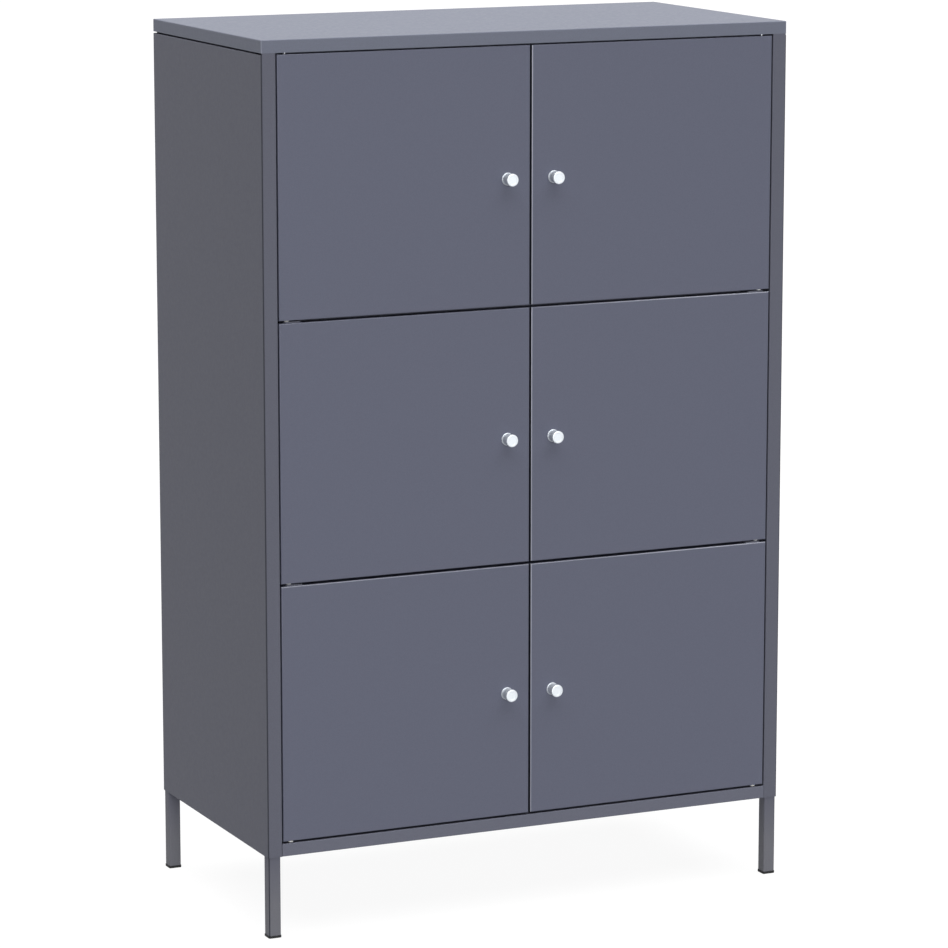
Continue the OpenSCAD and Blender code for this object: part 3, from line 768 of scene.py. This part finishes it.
def make_rivets():
    low, high = corners("hinge_rivets")
    model = blind_rivet()
    rivets = [copied(model, Matrix.Translation((sign * (high.x - RIVET_HEAD[0]), y,
                                                corners(f"hinge_plates_{shelf}")[1].z)))
              for sign in (-1, 1) for shelf in ("upper", "lower")
              for y in (low.y + RIVET_HEAD[0], high.y - RIVET_HEAD[0])]
    throw_away(model)
    stand_for(join(rivets), "domed_hinge_rivets", "hinge_rivets")


def flanged_bush(foot, flange, sleeve):
    """A moulded bush with rounded rims: a flange, a sleeve above it, and a bore through both."""
    top = foot + Vector((0.0, 0.0, flange))
    past = Vector((0.0, 0.0, MM))
    bush = rod(foot, top, BUSH_FLANGE_R)
    for direction in (UP, DOWN):
        round_rim(bush, direction, BUSH_RIM, 2)
    pick_faces(bush, UP)
    bpy.ops.mesh.inset(thickness=BUSH_FLANGE_R - BUSH_RIM - BUSH_SLEEVE_R)
    extrude((0.0, 0.0, sleeve))
    bpy.ops.mesh.region_to_loop()
    bevel(BUSH_LEAD_IN, 2)
    cut_out(bush, rod(foot - past, top + Vector((0.0, 0.0, sleeve)) + past, BUSH_BORE_R))
    return bush


def make_bushes():
    for row in ROWS:
        for side in SIDES:
            node = f"bushes_{row}_{side}"
            low, high = corners(node)
            door_low, door_high = corners(f"door_{row}_{side}")
            at = middle(node)
            lower = flanged_bush(Vector((at.x, at.y, low.z)), door_low.z - low.z, BUSH_SLEEVE)
            upper = flanged_bush(Vector((at.x, at.y, door_high.z - SHEET - BUSH_TOP_FLANGE)),
                                 BUSH_TOP_FLANGE, SHEET)
            stand_for(join([lower, upper]), f"nylon_bushes_{row}_{side}", node)


def turned_pin(start, end, radius=PIN_R):
    pin = rod(start, end, radius, sides=24)
    for direction in (UP, DOWN):
        round_rim(pin, direction, PIN_EDGE * radius, 3)
    return pin


def make_pins():
    """Pins through the row gaps, and headed pins at the top and at the bottom."""
    low, high = corners("pivot_pins")
    pieces = []
    for side in SIDES:
        at = middle(f"bushes_top_{side}")

        def point(z):
            return (at.x, at.y, z)

        tops = [corners(f"door_{row}_{side}")[1].z for row in ROWS]
        feet = [corners(f"door_{row}_{side}")[0].z for row in ROWS]
        pieces += [turned_pin(point(tops[row + 1] - PIN_REACH), point(feet[row] + PIN_REACH))
                   for row in (0, 1)]
        pieces += [turned_pin(point(tops[0] - PIN_REACH), point(high.z - PIN_HEAD[1] / 2)),
                   turned_pin(point(low.z + PIN_HEAD[1] / 2), point(feet[2] + PIN_REACH)),
                   turned_pin(point(high.z - PIN_HEAD[1]), point(high.z), PIN_HEAD[0]),
                   turned_pin(point(low.z), point(low.z + PIN_HEAD[1]), PIN_HEAD[0])]
    stand_for(join(pieces), "turned_pivot_pins", "pivot_pins")


# ---- Foot caps, catches and magnets ----

CAP_CORNER = 2.1 * MM
CAP_FLANGE = 3.0 * MM
CAP_FOOT_EDGE = 0.5 * MM
CAP_TOP_EDGE = 0.3 * MM
PLUG_HALF = 5.0 * MM
PLUG_EDGE = 1.0 * MM
FIN_HALF = 6.2 * MM
FIN_H = 0.8 * MM
FIN_EDGE = 0.3 * MM
FIN_PLACES = (0.25, 0.5, 0.75)
CATCH_CORNER = 1.5 * MM
CATCH_EDGE = 0.4 * MM
POCKET_ROOM = 0.2 * MM
MAGNET_INNER = 4.0 * MM
MAGNET_EDGE = 0.3 * MM


def foot_cap(node):
    """A rounded flange under the leg, and a finned plug inside its tube."""
    low, high = corners(node)
    at = middle(node)
    cap = block(low, (high.x, high.y, low.z + CAP_FLANGE))
    pick_edges(cap, along=UP)
    bevel(CAP_CORNER, 6)
    round_rim(cap, DOWN, CAP_FOOT_EDGE, 3)
    round_rim(cap, UP, CAP_TOP_EDGE, 3)
    plug = block((at.x - PLUG_HALF, at.y - PLUG_HALF, low.z + CAP_FLANGE / 2),
                 (at.x + PLUG_HALF, at.y + PLUG_HALF, high.z))
    round_rim(plug, UP, PLUG_EDGE, 3)
    fins = []
    for share in FIN_PLACES:
        z = low.z + CAP_FLANGE + share * (high.z - low.z - CAP_FLANGE)
        fin = block((at.x - FIN_HALF, at.y - FIN_HALF, z), (at.x + FIN_HALF, at.y + FIN_HALF, z + FIN_H))
        round_rim(fin, UP, FIN_EDGE, 2)
        fins.append(fin)
    return join([cap, plug] + fins)


def make_foot_caps():
    model = foot_cap("foot_cap_front_left")
    start = middle("foot_cap_front_left")
    for corner in CORNERS:
        node = f"foot_cap_{corner}"
        stand_for(copied(model, Matrix.Translation(middle(node) - start)), f"moulded_{node}", node)
    throw_away(model)


def magnet_boxes(row):
    """The lowest and highest corners of a row's two magnets."""
    low, high = corners("catch_magnets")
    z = middle(f"catch_{row}").z
    half = (high.z - low.z) / 2 - (middle("catch_top").z - middle("catch_bottom").z) / 2
    return [(Vector((start, low.y, z - half)), Vector((end, high.y, z + half)))
            for start, end in ((-high.x, -MAGNET_INNER), (MAGNET_INNER, high.x))]


def make_catches():
    """Moulded housings with a pocket for each door's magnet, and blind holes for their screws."""
    screw_low, screw_high = corners("catch_screws")
    screw_x = screw_high.x - SMALL_SCREW[1]
    for row in ROWS:
        node = f"catch_{row}"
        low, high = corners(node)
        catch = block(low, high)
        pick_edges(catch, along=BACK)
        bevel(CATCH_CORNER, 5)
        round_rim(catch, FRONT, CATCH_EDGE, 3)
        room, past = Vector((POCKET_ROOM, 0.0, POCKET_ROOM)), Vector((0.0, MM, 0.0))
        pockets = [block(start - room - past, end + room) for start, end in magnet_boxes(row)]
        holes = [rod((x, high.y + MM, middle(node).z), (x, screw_low.y, middle(node).z), SMALL_SCREW[0])
                 for x in (-screw_x, screw_x)]
        cut_out(catch, *pockets, *holes)
        stand_for(catch, f"moulded_catch_{row}", node)


def make_magnets():
    magnets = []
    for row in ROWS:
        for low, high in magnet_boxes(row):
            magnet = block(low, high)
            pick_edges(magnet)
            bevel(MAGNET_EDGE, 2)
            magnets.append(magnet)
    stand_for(join(magnets), "ground_catch_magnets", "catch_magnets")


# ---- Studio ----

SKY_LEVEL = 0.06
SKY_IN_REFLECTIONS = 0.9
# Each light's direction, strength and the angle it is seen over.
KEY_LIGHT = ((0.0, -0.03, 1.0), 4.48, math.radians(84))
FRONT_LIGHT = ((-0.08, -1.0, 0.1), 1.21, math.radians(10))
FLOOR_SIZE = 40.0
FLOOR_ALBEDO = 0.1
FLOOR_LIGHT = 0.5
FLOOR_GLOW = 0.93
# Reflections see the floor change from the first level to the second, from the one x to the other.
FLOOR_REFLECTED = (0.5, 0.6)
FLOOR_TURN = (-0.6, -0.2)
FLAG_SIZE = (3.2, 3.0)
FLAG_PLACE = (-3.6, -3.0, 1.5)
FLAG_TURN = math.radians(-50)
CAMERA_PLACE = (-2.1246, -4.6279, 1.4536)
CAMERA_TURN = math.radians(-24.695)
CAMERA_DIP = math.radians(10.560)
CAMERA_LENS = 160.17
SENSOR_W = 36.0


def by_ray(tree, for_light, for_reflections, for_the_eye):
    """A strength that depends on whether light, a reflection or the camera looks at it."""
    nodes, links = tree.nodes, tree.links
    path = nodes.new("ShaderNodeLightPath")
    strength = for_light
    for ray, level in (("Is Glossy Ray", for_reflections), ("Is Transmission Ray", for_the_eye),
                       ("Is Camera Ray", for_the_eye)):
        choice = nodes.new("ShaderNodeMix")
        for socket, value in (("Factor", path.outputs[ray]), ("A", strength), ("B", level)):
            if isinstance(value, float):
                choice.inputs[socket].default_value = value
            else:
                links.new(value, choice.inputs[socket])
        strength = choice.outputs["Result"]
    return strength


def light_world():
    world = bpy.data.worlds.new("studio")
    world.use_nodes = True
    bpy.context.scene.world = world
    tree = world.node_tree
    tree.nodes.clear()
    background = tree.nodes.new("ShaderNodeBackground")
    background.inputs["Color"].default_value = (1.0, 1.0, 1.0, 1.0)
    tree.links.new(by_ray(tree, SKY_LEVEL, SKY_IN_REFLECTIONS, 1.0), background.inputs["Strength"])
    output = tree.nodes.new("ShaderNodeOutputWorld")
    tree.links.new(background.outputs["Background"], output.inputs["Surface"])


def add_light(name, towards, strength, angle):
    """A distant light, seen over an angle that says how soft its shadows are."""
    bpy.ops.object.light_add(type="SUN")
    light = bpy.context.object
    light.name = name
    light.data.energy = strength
    light.data.angle = angle
    light.rotation_euler = Vector(towards).to_track_quat("Z", "Y").to_euler()


def empty_material(piece, name):
    """Gives a piece of the studio a material with no nodes yet, and returns its node tree."""
    material = bpy.data.materials.new(name)
    material.use_nodes = True
    material.node_tree.nodes.clear()
    piece.data.materials.append(material)
    return material.node_tree


def add_floor():
    """A pale floor, which glows for the eye so that only a faint shadow is left on it."""
    bpy.ops.mesh.primitive_plane_add(size=FLOOR_SIZE, location=(0.0, 0.0, 0.0))
    floor = bpy.context.object
    floor.name = "floor"
    tree = empty_material(floor, "white_floor")
    paint = tree.nodes.new("ShaderNodeBsdfDiffuse")
    paint.inputs["Color"].default_value = (FLOOR_ALBEDO, FLOOR_ALBEDO, FLOOR_ALBEDO, 1.0)
    across = tree.nodes.new("ShaderNodeMapRange")
    for name, value in zip(("From Min", "From Max", "To Min", "To Max"), FLOOR_TURN + FLOOR_REFLECTED):
        across.inputs[name].default_value = value
    axes = tree.nodes.new("ShaderNodeSeparateXYZ")
    tree.links.new(tree.nodes.new("ShaderNodeTexCoord").outputs["Object"], axes.inputs["Vector"])
    tree.links.new(axes.outputs["X"], across.inputs["Value"])
    glow = tree.nodes.new("ShaderNodeEmission")
    tree.links.new(by_ray(tree, FLOOR_LIGHT, across.outputs["Result"], FLOOR_GLOW), glow.inputs["Strength"])
    both = tree.nodes.new("ShaderNodeAddShader")
    tree.links.new(paint.outputs["BSDF"], both.inputs[0])
    tree.links.new(glow.outputs["Emission"], both.inputs[1])
    output = tree.nodes.new("ShaderNodeOutputMaterial")
    tree.links.new(both.outputs["Shader"], output.inputs["Surface"])


def add_flag():
    """An upright black card that only reflections see."""
    bpy.ops.mesh.primitive_plane_add(size=1.0, location=FLAG_PLACE, rotation=(math.pi / 2, 0.0, FLAG_TURN))
    card = bpy.context.object
    card.name = "flag"
    card.scale = (*FLAG_SIZE, 1.0)
    card.visible_camera = False
    card.visible_diffuse = False
    card.visible_shadow = False
    tree = empty_material(card, "flag")
    black = tree.nodes.new("ShaderNodeEmission")
    black.inputs["Strength"].default_value = 0.0
    output = tree.nodes.new("ShaderNodeOutputMaterial")
    tree.links.new(black.outputs["Emission"], output.inputs["Surface"])


def add_camera():
    bpy.ops.object.camera_add(location=CAMERA_PLACE, rotation=(math.pi / 2 - CAMERA_DIP, 0.0, CAMERA_TURN))
    camera = bpy.context.object
    camera.name = "camera"
    camera.data.sensor_width = SENSOR_W
    camera.data.lens = CAMERA_LENS
    bpy.context.scene.camera = camera


# ---- The scene ----

finish_frame()
make_doors()
make_knobs()
make_knob_screws()
make_screws()
make_rivets()
make_bushes()
make_pins()
make_foot_caps()
make_catches()
make_magnets()
add_floor()
light_world()
add_light("key_light", *KEY_LIGHT)
add_light("front_light", *FRONT_LIGHT)
add_flag()
add_camera()
bpy.context.scene.view_settings.view_transform = "Standard"
